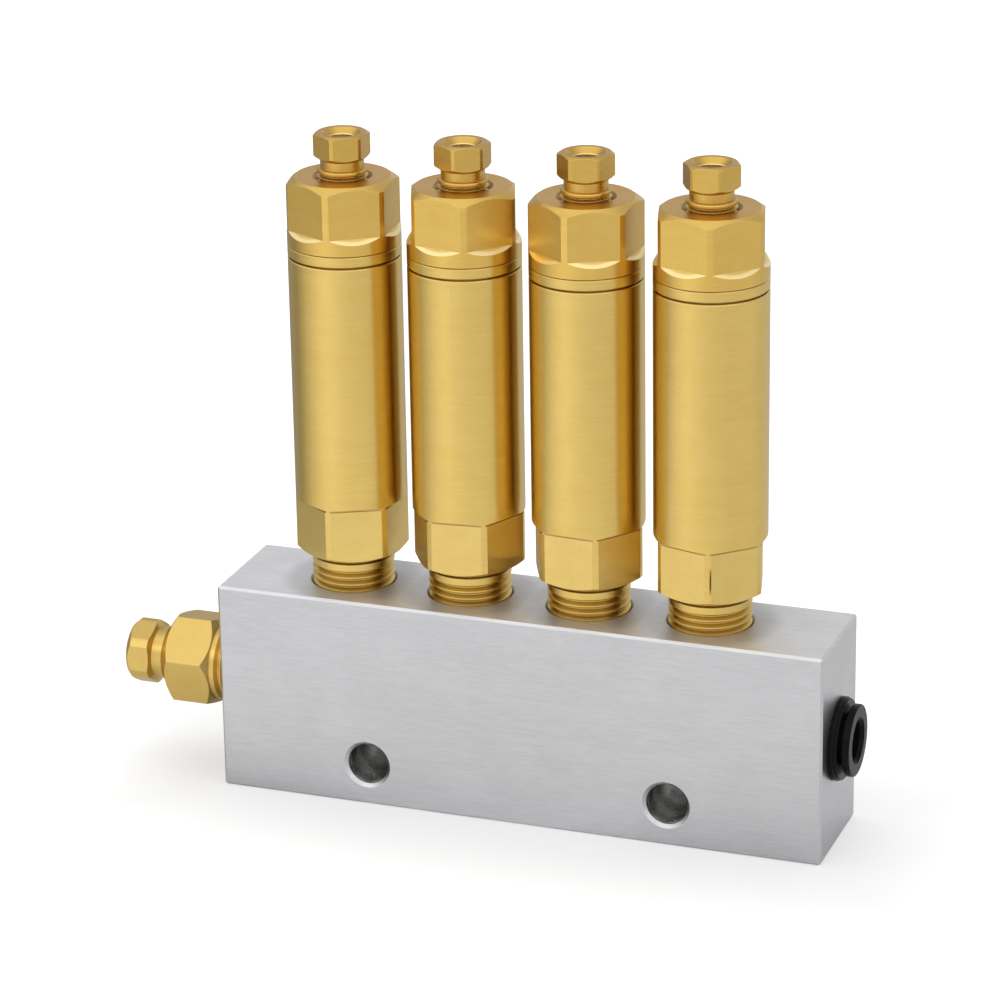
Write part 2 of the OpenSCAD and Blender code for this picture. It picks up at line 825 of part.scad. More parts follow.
module push_in_body() {
    guide_r = sleeve_tube_r + sleeve_gap;
    rim_r = push_rim_d / 2;
    rim_bevel = 0.15;
    foot_w = 0.4;
    foot_h = 0.3;
    step_r = push_step_d / 2;
    step_bevel = 0.15;
    color(black_plastic)
        at_right()
            difference() {
                turned([
                    [0, -push_body_l],
                    [push_body_d / 2, -push_body_l],
                    [push_body_d / 2, 0],
                    [rim_r - foot_w, 0],
                    [rim_r - foot_w, foot_h],
                    [rim_r, foot_h],
                    [rim_r, push_rim_t - rim_bevel],
                    [rim_r - rim_bevel - step_bevel, push_rim_t],
                    [step_r, push_rim_t + step_bevel],
                    [step_r, push_face_z - step_bevel],
                    [step_r - step_bevel, push_face_z],
                    [0, push_face_z]
                ]);
                turned([
                    [0, -push_body_l - past],
                    [push_passage_d / 2, -push_body_l - past],
                    [push_passage_d / 2, push_floor_t - push_body_l],
                    [push_bore / 2, push_floor_t - push_body_l],
                    [push_bore / 2, seal_room_z],
                    [seal_room_r, seal_room_z],
                    [seal_room_r, grip_z],
                    [grip_room_r, grip_z],
                    [grip_room_r, grip_z + grip_t],
                    [bead_room_r, grip_z + grip_t],
                    [bead_room_r, bead_stop_z],
                    [guide_r, bead_stop_z],
                    [guide_r, push_face_z + past],
                    [0, push_face_z + past]
                ]);
            }
}

// Spring-steel ring whose teeth lean inwards, so that they let the tube in and hold it
module grip_ring() {
    tooth_w = 0.9;
    root = push_bore / 2 + tooth_w;
    tip = push_bore / 2 + seat_gap;
    teeth = 12;
    slot_w = 0.4;
    color(steel)
        at_right()
            translate([0, 0, grip_z])
                difference() {
                    turned([
                        [tip, -grip_lean],
                        [root, 0],
                        [grip_room_r, 0],
                        [grip_room_r, grip_t],
                        [root, grip_t],
                        [tip, grip_t - grip_lean]
                    ]);
                    for (k = [0:teeth - 1])
                        rotate([0, 0, k * 360 / teeth])
                            translate([0, -slot_w / 2, -grip_lean - past])
                                cube([root, slot_w, grip_lean + grip_t + 2 * past]);
                }
}

module tube_seal() {
    color(rubber)
        at_right()
            translate([0, 0, seal_room_z + tube_seal_d / 2])
                o_ring(seal_room_r - tube_seal_d / 2, tube_seal_d);
}

module release_sleeve() {
    bore_r = push_bore / 2;
    tube_r = sleeve_tube_r;
    bead_r = sleeve_tube_r + sleeve_bead;
    nose_r = sleeve_nose_d / 2;
    foot_w = 0.2;
    foot_l = 0.4;
    bead_slope = 0.5;
    under_bevel = 0.2;
    nose_round = 0.35;
    mouth_w = 0.55;
    mouth_l = 0.8;
    color(black_plastic)
        at_right()
            turned(concat(
                [
                    [bore_r + foot_w, sleeve_end],
                    [tube_r, sleeve_end],
                    [bead_r, sleeve_end + bead_slope],
                    [bead_r, sleeve_end + sleeve_bead_l],
                    [tube_r, sleeve_end + sleeve_bead_l],
                    [tube_r, sleeve_nose_z],
                    [nose_r - under_bevel, sleeve_nose_z],
                    [nose_r, sleeve_nose_z + under_bevel]
                ],
                [for (a = [0:15:90]) [
                    nose_r - nose_round + nose_round * cos(a),
                    sleeve_top - nose_round + nose_round * sin(a)
                ]],
                [
                    [bore_r + mouth_w, sleeve_top],
                    [bore_r, sleeve_top - mouth_l],
                    [bore_r, sleeve_end + foot_l]
                ]
            ));
}

manifold_block();
for (i = [1:valves]) {
    valve_body(i);
    dose_ring(i);
    outlet_cap(i);
    outlet_nut(i);
    outlet_cutting_ring(i);
    cap_seal(i);
    metering_piston(i);
    piston_seal(i);
    return_spring(i);
    check_cup(i);
}
inlet_adapter();
inlet_nut();
inlet_cutting_ring();
push_in_body();
grip_ring();
tube_seal();
release_sleeve();
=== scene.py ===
import math

import bpy
from mathutils import Matrix, Vector


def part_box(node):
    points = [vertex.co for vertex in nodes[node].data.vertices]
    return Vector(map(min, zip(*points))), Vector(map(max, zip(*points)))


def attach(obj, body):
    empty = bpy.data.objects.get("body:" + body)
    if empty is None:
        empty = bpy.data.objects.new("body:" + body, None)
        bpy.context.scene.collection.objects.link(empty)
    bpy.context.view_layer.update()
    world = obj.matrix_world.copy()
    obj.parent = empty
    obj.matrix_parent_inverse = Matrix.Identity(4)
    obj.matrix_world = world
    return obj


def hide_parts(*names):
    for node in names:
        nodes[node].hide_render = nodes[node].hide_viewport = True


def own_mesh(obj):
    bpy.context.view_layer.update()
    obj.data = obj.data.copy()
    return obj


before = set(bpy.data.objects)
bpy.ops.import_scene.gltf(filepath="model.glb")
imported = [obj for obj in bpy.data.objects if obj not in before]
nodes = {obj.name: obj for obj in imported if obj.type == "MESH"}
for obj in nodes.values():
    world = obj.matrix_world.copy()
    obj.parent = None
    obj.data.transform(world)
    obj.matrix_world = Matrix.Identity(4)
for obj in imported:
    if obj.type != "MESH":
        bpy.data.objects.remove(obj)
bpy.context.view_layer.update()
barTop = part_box("manifold_block")[1].z
mm = 0.001

# Where the valves stand on the bar
rowSizes = {
    "count": 4,
    "firstX": -38.5 * mm,
    "pitch": 25 * mm,
    "y": 0.7 * mm,
    "barrelRadius": 11.2 * mm,
}

# The fixing holes through the bar, from front to back
holeSizes = {
    "holeRadius": 4.25 * mm,
    "holeSpacing": 63 * mm,
    "holeHeight": 8.6 * mm,
}

galleryHeight = 22 * mm         # the inlet's axis above the floor


def valveX(valve):
    return rowSizes["firstX"] + (valve - 1) * rowSizes["pitch"]


# Small helpers for node trees

def addNode(tree, kind, inputs=None, **settings):
    node = tree.nodes.new(kind)
    for name, value in settings.items():
        setattr(node, name, value)
    for name, value in (inputs or {}).items():
        plug(tree, node.inputs[name], value)
    return node


def plug(tree, socket, value):
    if isinstance(value, bpy.types.NodeSocket):
        tree.links.new(value, socket)
    else:
        socket.default_value = value


def mathNode(tree, operation, a, b=None, c=None):
    node = addNode(tree, "ShaderNodeMath", operation=operation)
    for index, value in enumerate((a, b, c)):
        if value is not None:
            plug(tree, node.inputs[index], value)
    return node.outputs[0]


def product(tree, first, *others):
    for value in others:
        first = mathNode(tree, "MULTIPLY", first, value)
    return first


# A start plus each value times its share
def weighted(tree, start, *parts):
    for value, share in parts:
        start = mathNode(tree, "MULTIPLY_ADD", value, share, start)
    return start


# A middle number that noises swing about, each by its own reach
def varied(tree, middle, *parts):
    return weighted(tree, middle - sum(reach for noise, reach in parts) / 2, *parts)


def vectorMath(tree, operation, first, second=None, scale=None):
    node = addNode(tree, "ShaderNodeVectorMath", {0: first}, operation=operation)
    if second is not None:
        plug(tree, node.inputs[1], second)
    if scale is not None:
        plug(tree, node.inputs["Scale"], scale)
    return node.outputs["Value" if operation in ("LENGTH", "DOT_PRODUCT") else "Vector"]


def vectorOf(tree, x=0.0, y=0.0, z=0.0):
    return addNode(tree, "ShaderNodeCombineXYZ", {0: x, 1: y, 2: z}).outputs[0]


def axesOf(tree, vector):
    return addNode(tree, "ShaderNodeSeparateXYZ", {0: vector}).outputs


def smoothStep(tree, value, low, high, toLow=0.0, toHigh=1.0):
    node = addNode(tree, "ShaderNodeMapRange", interpolation_type="SMOOTHSTEP", clamp=True)
    for index, number in enumerate((value, low, high, toLow, toHigh)):
        plug(tree, node.inputs[index], number)
    return node.outputs[0]


def noiseOf(tree, vector, scale, detail=2.0, roughness=0.5):
    inputs = {"Vector": vector, "Scale": scale, "Detail": detail, "Roughness": roughness}
    return addNode(tree, "ShaderNodeTexNoise", inputs).outputs["Fac"]


def mixColour(tree, share, first, second, blend="MIX"):
    node = addNode(tree, "ShaderNodeMix", data_type="RGBA", blend_type=blend)
    plug(tree, node.inputs["Factor"], share)
    plug(tree, node.inputs[6], first)
    plug(tree, node.inputs[7], second)
    return node.outputs[2]


def mixNumber(tree, share, first, second):
    node = addNode(tree, "ShaderNodeMix", data_type="FLOAT")
    plug(tree, node.inputs["Factor"], share)
    plug(tree, node.inputs[2], first)
    plug(tree, node.inputs[3], second)
    return node.outputs[0]


def tinted(tree, share, colour, tint):
    return mixColour(tree, share, colour, tint, "MULTIPLY")


def timesNumber(tree, colour, number):
    return tinted(tree, 1.0, colour, vectorOf(tree, number, number, number))


def greyOf(level):
    return (level, level, level, 1.0)


def rampOf(tree, value, stops):
    node = addNode(tree, "ShaderNodeValToRGB", {"Fac": value})
    elements = node.color_ramp.elements
    while len(elements) < len(stops):
        elements.new(0.5)
    for element, (place, level) in zip(elements, stops):
        element.position = place
        element.color = greyOf(level)
    return node.outputs["Color"]


def placeOf(tree):
    return addNode(tree, "ShaderNodeTexCoord").outputs["Object"]


def normalOf(tree):
    return addNode(tree, "ShaderNodeNewGeometry").outputs["Normal"]


# The normal rounded off at edges, and how much of an edge a place is: rubbed paler on the brass and the
# bar, a painted highlight along the plastic's rims
def edgeWearAndSheen(tree, normal, sizes):
    rounded = addNode(tree, "ShaderNodeBevel", {"Radius": sizes["edgeRound"]}, samples=4).outputs["Normal"]
    bend = vectorMath(tree, "DOT_PRODUCT", rounded, normal)
    return rounded, smoothStep(tree, bend, *sizes["edgeBend"], 0.0, sizes["edgeShare"])


def bumpOf(tree, height, depth, strength=0.4, normal=None):
    inputs = {"Height": height, "Distance": depth, "Strength": strength}
    if normal is not None:
        inputs["Normal"] = normal
    return addNode(tree, "ShaderNodeBump", inputs).outputs["Normal"]


def emptyMaterial(name):
    material = bpy.data.materials.new(name)
    material.use_nodes = True
    material.node_tree.nodes.clear()
    return material, material.node_tree


def newMaterial(name):
    material, tree = emptyMaterial(name)
    shader = addNode(tree, "ShaderNodeBsdfPrincipled")
    output = addNode(tree, "ShaderNodeOutputMaterial")
    tree.links.new(shader.outputs["BSDF"], output.inputs["Surface"])
    return material, tree, shader


def setSurface(tree, shader, colour, roughness, normal, metallic=0.0):
    plug(tree, shader.inputs["Base Color"], colour)
    plug(tree, shader.inputs["Roughness"], roughness)
    plug(tree, shader.inputs["Normal"], normal)
    shader.inputs["Metallic"].default_value = metallic


def addObject(name, data):
    thing = bpy.data.objects.new(name, data)
    bpy.context.scene.collection.objects.link(thing)
    return thing


# Brass that is turned where it is round and milled where it is flat. Here and in the other
# materials, a pair of numbers says where a change starts and where it is complete
brassSizes = {
    "colour": (0.70, 0.505, 0.160, 1.0),
    "deepColour": (0.645, 0.445, 0.120, 1.0),
    "edgeColour": (0.78, 0.62, 0.28, 1.0),
    "boreHighlightColour": (1.0, 0.78, 0.38, 1.0),
    "bodyTint": (1.0, 1.02, 1.08, 1.0),
    "nutTint": (0.88, 0.86, 0.83, 1.0),
    "inletTint": (0.94, 0.92, 0.91, 1.0),
    "warmTint": (1.0, 0.935, 0.80, 1.0),
    "topShadeTint": (0.93, 0.80, 0.52, 1.0),
    "cloudScale": 230.0,        # noise scales are per metre
    "cloudShare": 0.6,
    "bandScale": 1100.0,
    "bandShare": 0.4,
    "deepTones": (0.35, 0.65),
    "deepShares": (0.15, 0.55),
    "turnedLines": 5200.0,
    "turnedStretch": 0.035,     # how fast the grain changes along its lines, with 1 across them
    "milledLines": 3000.0,
    "milledStretch": 0.03,
    "turnedStreak": {"valves": 0.20, "nuts": 0.08, "inlet": 0.10},      # how far the grain changes the tone
    "milledStreak": {"valves": 0.10, "nuts": 0.04, "inlet": 0.05},
    "streakLevel": 1.005,
    "roughness": {"valves": 0.295, "nuts": 0.275, "inlet": 0.295},
    "grainRoughness": 0.03,     # how far the grain and the clouds swing the roughness
    "cloudRoughness": 0.04,
    "spread": 0.65,             # how far the grain stretches a reflection
    "grainDepth": 0.0004 * mm,
    "milledDepth": 0.0003 * mm,
    "bumpStrength": 0.35,
    "edgeRound": 0.10 * mm,
    "edgeBend": (0.985, 0.90),
    "edgeShare": 0.5,
    "sideFacing": (0.20, 0.08),     # how far sides, ends and the very top face along the axis
    "endFacing": (0.6, 0.9),
    "topFacing": (0.93, 0.98),
    "warmFrom": (barTop + 70.0 * mm, barTop + 71.5 * mm),
    "lowHexagon": (6.0, 18.5),  # from and to in millimetres above the bar
    "nutBore": (2.75 * mm, 2.65 * mm),
}

# Where each kind of piece is milled: how far out its flats begin, and where they end
milledSizes = {
    "valves": {"flats": (9.9 * mm, 9.97 * mm), "barrel": (11.15 * mm, 11.08 * mm)},
    "nuts": {"flats": (4.9 * mm, 4.97 * mm), "from": (129.5 * mm, 130.0 * mm)},
    "inlet": {"flats": (6.08 * mm, 6.16 * mm), "from": (-67.6 * mm, -67.8 * mm)},
}

# The cutter's run-outs under the cap's flats, with a painted highlight that is brightest towards their rims
ledgeHighlightSizes = {
    "colour": (0.95, 0.78, 0.39, 1.0),
    "heights": (70.0, 76.0),    # from and to in millimetres above the bar
    "slopeFrom": (0.70, 0.76),  # how far a ledge faces along the axis
    "slopeTo": (0.84, 0.80),
    "across": (10.2 * mm, 10.75 * mm),
    "innerShare": 0.15,
}

# Painted shade in the joints, undercuts, thread roots and recesses: from and to in millimetres above the
# bar, the radius where it is unshaded and where it is darkest, also in millimetres, and how dark
paintedShadePlaces = {
    "openJoints": (67.7, 71.0, 11.0, 10.8, 0.5),
    "cutterLine": (17.62, 18.0, 11.16, 11.1, 0.35),
    "undercut": (5.6, 6.55, 8.6, 8.2, 0.6),
    "thread": (-1.0, 5.0, 8.2, 7.6, 0.22),
    "nutRecess": (83.0, 83.97, 5.97, 5.9, 0.7),
}
paintedShadeColour = (0.22, 0.105, 0.022, 1.0)

# A dark score along one corner of the fourth valve's lower hexagon
nickSizes = {
    "colour": (0.10, 0.055, 0.012, 1.0),
    "valve": 4,
    "angle": 16.8,              # degrees from the front towards +X
    "low": 52.6 * mm,
    "high": 59.0 * mm,
    "taper": 0.4,               # the share of its length that doesn't fade
    "width": 0.32 * mm,
    "waver": 0.10 * mm,
    "raggedScale": 1500.0,
    "brokenTones": (0.30, 0.50),
    "faintShare": 0.55,
}


# What the patterns need to know of a place on a turned piece: where it is along the axis that the
# piece was turned about, how far out and which way out, how far it faces along it, and if milled
def turnedPlace(tree, about, axes, normal):
    facing = axesOf(tree, normal)
    if about == "inlet":
        up = mathNode(tree, "SUBTRACT", axes["Z"], galleryHeight)
        outwards = vectorOf(tree, 0.0, axes["Y"], up)
        along, faces, axis = axes["X"], facing["X"], (1.0, 0.0, 0.0)
    else:
        low = rowSizes["firstX"] - rowSizes["pitch"] / 2
        fromRow = mathNode(tree, "WRAP", axes["X"], low + rowSizes["pitch"], low)
        across = mathNode(tree, "SUBTRACT", fromRow, rowSizes["firstX"])
        back = mathNode(tree, "SUBTRACT", axes["Y"], rowSizes["y"])
        outwards = vectorOf(tree, across, back, 0.0)
        along, faces, axis = axes["Z"], facing["Z"], (0.0, 0.0, 1.0)
    spot = {"along": along, "axis": axis, "outwards": outwards}
    spot["radius"] = vectorMath(tree, "LENGTH", outwards)
    spot["flat"] = mathNode(tree, "ABSOLUTE", faces)
    spot["milled"] = milledShare(tree, about, spot)
    return spot


def milledShare(tree, about, spot):
    sizes = milledSizes[about]
    onSide = smoothStep(tree, spot["flat"], *brassSizes["sideFacing"])
    flats = smoothStep(tree, spot["radius"], *sizes["flats"])
    if about == "valves":
        ends = smoothStep(tree, spot["radius"], *sizes["barrel"])
    else:
        ends = smoothStep(tree, spot["along"], *sizes["from"])
    return product(tree, onSide, flats, ends)


# Turned grain runs round the axis, on end faces too
def turnedWay(tree, spot):
    slowly = vectorMath(tree, "SCALE", spot["outwards"], scale=brassSizes["turnedStretch"])
    lineStep = mathNode(tree, "ADD", spot["radius"], spot["along"])
    return vectorMath(tree, "ADD", slowly, vectorMath(tree, "SCALE", spot["axis"], scale=lineStep))


# Milled grain runs along the axis
def brassGrain(tree, spot, turnedVector):
    sizes = brassSizes
    turned = noiseOf(tree, turnedVector, sizes["turnedLines"], detail=3.0, roughness=0.6)
    slowly = product(tree, spot["along"], sizes["milledStretch"])
    slowWay = vectorMath(tree, "SCALE", spot["axis"], scale=slowly)
    milledVector = vectorMath(tree, "ADD", spot["outwards"], slowWay)
    milled = noiseOf(tree, milledVector, sizes["milledLines"], detail=3.0, roughness=0.55)
    return mixNumber(tree, spot["milled"], turned, milled)


def brassColour(tree, about, spot, grain, cloud, band):
    sizes = brassSizes
    tone = weighted(tree, 0.0, (cloud, sizes["cloudShare"]), (band, sizes["bandShare"]))
    deep = smoothStep(tree, tone, *sizes["deepTones"], *sizes["deepShares"])
    colour = mixColour(tree, deep, sizes["colour"], sizes["deepColour"])
    streak = mixNumber(tree, spot["milled"], sizes["turnedStreak"][about], sizes["milledStreak"][about])
    fromMiddle = mathNode(tree, "SUBTRACT", grain, 0.5)
    colour = timesNumber(tree, colour, weighted(tree, sizes["streakLevel"], (streak, fromMiddle)))
    if about == "inlet":
        return tinted(tree, 1.0, colour, sizes["inletTint"])
    # Caps and nuts are of a warmer bar of brass than the bodies; their top faces also get painted shade,
    # darker and deeper in colour
    warm = smoothStep(tree, spot["along"], *sizes["warmFrom"])
    colour = tinted(tree, warm, colour, sizes["warmTint"])
    onTop = smoothStep(tree, spot["flat"], *sizes["topFacing"])
    colour = tinted(tree, product(tree, warm, onTop), colour, sizes["topShadeTint"])
    if about == "nuts":
        colour = tinted(tree, 1.0, colour, sizes["nutTint"])
        # Inside the nut's bore the colour turns paler: a painted highlight
        inBore = smoothStep(tree, spot["radius"], *sizes["nutBore"])
        colour = mixColour(tree, inBore, colour, sizes["boreHighlightColour"])
    return colour


# 1 between two heights above the bar, in millimetres
def bandOf(tree, height, low, high, soft=0.03):
    rise = smoothStep(tree, height, barTop + (low - soft) * mm, barTop + (low + soft) * mm)
    fall = smoothStep(tree, height, barTop + (high + soft) * mm, barTop + (high - soft) * mm)
    return product(tree, rise, fall)


def ledgeHighlightShare(tree, spot):
    sizes = ledgeHighlightSizes
    slopes = [smoothStep(tree, spot["flat"], *sizes[end]) for end in ("slopeFrom", "slopeTo")]
    within = bandOf(tree, spot["along"], *sizes["heights"])
    towardsRim = smoothStep(tree, spot["radius"], *sizes["across"], sizes["innerShare"], 1.0)
    return product(tree, *slopes, within, towardsRim)


def paintedShadeShare(tree, spot):
    share = 0.0
    for low, high, clean, dirty, strength in paintedShadePlaces.values():
        inside = smoothStep(tree, spot["radius"], clean * mm, dirty * mm, 0.0, strength)
        shadeHere = product(tree, bandOf(tree, spot["along"], low, high), inside)
        share = mathNode(tree, "MAXIMUM", share, shadeHere)
    return share


def nickShare(tree, axes):
    sizes = nickSizes
    across = mathNode(tree, "SUBTRACT", axes["X"], valveX(sizes["valve"]))
    front = mathNode(tree, "SUBTRACT", rowSizes["y"], axes["Y"])
    angle = mathNode(tree, "ARCTAN2", across, front)
    turn = mathNode(tree, "SUBTRACT", angle, math.radians(sizes["angle"]))
    frontView = vectorOf(tree, axes["X"], 0.0, axes["Z"])
    ragged = noiseOf(tree, frontView, sizes["raggedScale"], detail=2.0, roughness=0.6)
    waver = product(tree, mathNode(tree, "SUBTRACT", ragged, 0.5), sizes["waver"])
    arc = weighted(tree, waver, (turn, rowSizes["barrelRadius"]))
    thin = smoothStep(tree, mathNode(tree, "ABSOLUTE", arc), sizes["width"] * 0.75, sizes["width"] * 0.25)
    middle = (sizes["low"] + sizes["high"]) / 2
    half = (sizes["high"] - sizes["low"]) / 2
    away = mathNode(tree, "ABSOLUTE", mathNode(tree, "SUBTRACT", axes["Z"], middle))
    tapered = smoothStep(tree, away, half, half * sizes["taper"])
    broken = smoothStep(tree, ragged, *sizes["brokenTones"], sizes["faintShare"], 1.0)
    return product(tree, thin, tapered, broken)


# What only the valves have: their lower hexagon's tint, painted highlights on the ledges, painted shade in
# joints, undercuts and recesses, and the score
def valveMarks(tree, spot, axes, colour):
    lowHexagon = product(tree, spot["milled"], bandOf(tree, spot["along"], *brassSizes["lowHexagon"]))
    colour = tinted(tree, lowHexagon, colour, brassSizes["bodyTint"])
    colour = mixColour(tree, ledgeHighlightShare(tree, spot), colour, ledgeHighlightSizes["colour"])
    colour = mixColour(tree, paintedShadeShare(tree, spot), colour, paintedShadeColour)
    return mixColour(tree, nickShare(tree, axes), colour, nickSizes["colour"])


# about is valves, nuts or inlet: what the piece belongs to, and so the axis of its grain
def brassMaterial(name, about):
    sizes = brassSizes
    material, tree, shader = newMaterial(name)
    place = placeOf(tree)
    axes = axesOf(tree, place)
    normal = normalOf(tree)
    spot = turnedPlace(tree, about, axes, normal)
    turnedVector = turnedWay(tree, spot)
    grain = brassGrain(tree, spot, turnedVector)
    cloud = noiseOf(tree, place, sizes["cloudScale"], detail=3.0, roughness=0.55)
    band = noiseOf(tree, turnedVector, sizes["bandScale"])
    colour = brassColour(tree, about, spot, grain, cloud, band)

    # Edges are rubbed paler
    rounded, edge = edgeWearAndSheen(tree, normal, sizes)
    colour = mixColour(tree, edge, colour, sizes["edgeColour"])
    if about == "valves":
        colour = valveMarks(tree, spot, axes, colour)
    swings = (grain, sizes["grainRoughness"]), (cloud, sizes["cloudRoughness"])
    roughness = varied(tree, sizes["roughness"][about], *swings)
    depth = mixNumber(tree, spot["milled"], sizes["grainDepth"], sizes["milledDepth"])
    bump = bumpOf(tree, grain, depth, sizes["bumpStrength"], rounded)
    setSurface(tree, shader, colour, roughness, bump, metallic=1.0)

    # A reflection stretches across the grain: along the axis where turned, out from it on end faces
    onEnd = smoothStep(tree, spot["flat"], *sizes["endFacing"])
    outward = vectorMath(tree, "NORMALIZE", spot["outwards"])
    stretched = mixColour(tree, onEnd, spot["axis"] + (1.0,), outward)
    sideways = vectorMath(tree, "CROSS_PRODUCT", normal, spot["axis"])
    shader.inputs["Anisotropic"].default_value = sizes["spread"]
    plug(tree, shader.inputs["Tangent"], mixColour(tree, spot["milled"], stretched, sideways))
    return material


# Brushed aluminium of the bar, with drilled holes
barSizes = {
    "colour": (0.55, 0.553, 0.57, 1.0),
    "darkColour": (0.485, 0.488, 0.503, 1.0),
    "holeShadeColour": (0.26, 0.255, 0.24, 1.0),
    "edgeColour": (0.72, 0.72, 0.73, 1.0),
    "grainShare": 0.62,         # how much each pattern changes the tone
    "broadShare": 0.18,
    "cloudShare": 0.20,
    "paleTones": (0.36, 0.64),
    "faceTurn": (0.6, 0.8),     # how far a surface faces along an axis, where two faces part
    "roughness": 0.33,
    "topRoughness": 0.46,
    "grainRoughness": 0.10,
    "topLightByValves": 1.19,        # how much paler the top is painted near the valves and away from them: painted light on top, less of it near the valves as painted shade
    "topLightClear": 1.47,
    "besideValves": (11.5 * mm, 15.5 * mm),
    "brushLines": 3900.0,       # noise scale across the brushing, per metre
    "broadLines": 624.0,
    "brushStretch": 0.07,
    "brushDepth": 0.0035 * mm,
    "cloudScale": 120.0,
    "holeRim": (0.10 * mm, 0.02 * mm),      # outside a hole's wall
    "ringLines": 3200.0,
    "ringStretch": 0.05,
    "spread": 0.6,
    "edgeRound": 0.15 * mm,
    "edgeBend": (0.985, 0.90),
    "edgeShare": 0.6,
}


# Distance from the nearest valve's axis, seen from above
def fromValve(tree, axes):
    first, pitch = rowSizes["firstX"], rowSizes["pitch"]
    step = mathNode(tree, "DIVIDE", mathNode(tree, "SUBTRACT", axes["X"], first), pitch)
    step = mathNode(tree, "MAXIMUM", mathNode(tree, "ROUND", step), 0.0)
    step = mathNode(tree, "MINIMUM", step, rowSizes["count"] - 1)
    across = mathNode(tree, "SUBTRACT", axes["X"], weighted(tree, first, (step, pitch)))
    back = mathNode(tree, "SUBTRACT", axes["Y"], rowSizes["y"])
    return vectorMath(tree, "LENGTH", vectorOf(tree, across, back, 0.0))


# How much a place is in a fixing hole, and the way that rings run round the hole
def holePlace(tree, axes):
    beside = mathNode(tree, "SUBTRACT", mathNode(tree, "ABSOLUTE", axes["X"]), holeSizes["holeSpacing"] / 2)
    above = mathNode(tree, "SUBTRACT", axes["Z"], holeSizes["holeHeight"])
    radius = vectorMath(tree, "LENGTH", vectorOf(tree, beside, 0.0, above))
    inHole = smoothStep(tree, radius, *(holeSizes["holeRadius"] + rim for rim in barSizes["holeRim"]))
    slowX, slowZ = (product(tree, way, barSizes["ringStretch"]) for way in (beside, above))
    return inHole, vectorOf(tree, slowX, axes["Y"], slowZ)


def barMaterial():
    sizes = barSizes
    material, tree, shader = newMaterial("brushedAluminium")
    place = placeOf(tree)
    axes = axesOf(tree, place)
    normal = normalOf(tree)
    facing = axesOf(tree, normal)

    # Brushed along the bar, but from front to back on its ends
    onEnd = smoothStep(tree, mathNode(tree, "ABSOLUTE", facing["X"]), *sizes["faceTurn"])
    stretch = sizes["brushStretch"]
    longWay = vectorOf(tree, product(tree, axes["X"], stretch), axes["Y"], axes["Z"])
    crossWay = vectorOf(tree, axes["X"], product(tree, axes["Y"], stretch * 2), axes["Z"])
    brushed = mixColour(tree, onEnd, longWay, crossWay)
    brush = noiseOf(tree, brushed, sizes["brushLines"], detail=4.0, roughness=0.65)
    broad = noiseOf(tree, brushed, sizes["broadLines"], detail=3.0, roughness=0.6)
    cloud = noiseOf(tree, place, sizes["cloudScale"], detail=3.0, roughness=0.5)

    # Bores are painted darker inside as shade, with fine rings
    inHole, ringVector = holePlace(tree, axes)
    rings = noiseOf(tree, ringVector, sizes["ringLines"], detail=3.0, roughness=0.6)
    grain = mixNumber(tree, inHole, brush, rings)
    shares = (grain, sizes["grainShare"]), (broad, sizes["broadShare"]), (cloud, sizes["cloudShare"])
    pale = smoothStep(tree, weighted(tree, 0.0, *shares), *sizes["paleTones"])
    colour = mixColour(tree, pale, sizes["darkColour"], sizes["colour"])
    colour = mixColour(tree, inHole, colour, sizes["holeShadeColour"])

    # Painted light on the top, which is paler, most of all away from the valves; nearer them it is less, as
    # painted shade round their bases
    onTop = smoothStep(tree, mathNode(tree, "ABSOLUTE", facing["Z"]), *sizes["faceTurn"])
    away = fromValve(tree, axes)
    paintedTopLight = smoothStep(tree, away, *sizes["besideValves"], sizes["topLightByValves"], sizes["topLightClear"])
    colour = timesNumber(tree, colour, mixNumber(tree, onTop, 1.0, paintedTopLight))
    rounded, edge = edgeWearAndSheen(tree, normal, sizes)
    colour = mixColour(tree, edge, colour, sizes["edgeColour"])
    half = sizes["grainRoughness"] / 2
    smoothest = mixNumber(tree, onTop, sizes["roughness"] - half, sizes["topRoughness"] - half)
    roughness = weighted(tree, smoothest, (grain, sizes["grainRoughness"]))
    bump = bumpOf(tree, grain, sizes["brushDepth"], normal=rounded)
    setSurface(tree, shader, colour, roughness, bump, metallic=1.0)

    # Reflections stretch across the brushing: up and down at the sides, front to back on top
    shader.inputs["Anisotropic"].default_value = sizes["spread"]
    plug(tree, shader.inputs["Tangent"], mixColour(tree, onTop, (0.0, 0.0, 1.0, 1.0), (0.0, 1.0, 0.0, 1.0)))
    return material


# Black moulded plastic of the push-in connector
plasticSizes = {
    "colour": (0.004, 0.004, 0.0043, 1.0),
    "paleColour": (0.008, 0.008, 0.0085, 1.0),
    "edgeColour": (0.045, 0.045, 0.047, 1.0),
    "bodyRoughness": 0.24,
    "sleeveRoughness": 0.26,
    "cloudRoughness": 0.12,
    "cloudScale": 320.0,
    "paleTones": (0.3, 0.7),
    "textureScale": 4200.0,
    "textureDepth": 0.006 * mm,
    "shine": 0.06,
    "edgeRound": 0.12 * mm,
    "edgeBend": (0.97, 0.85),
    "edgeShare": 0.8,
}


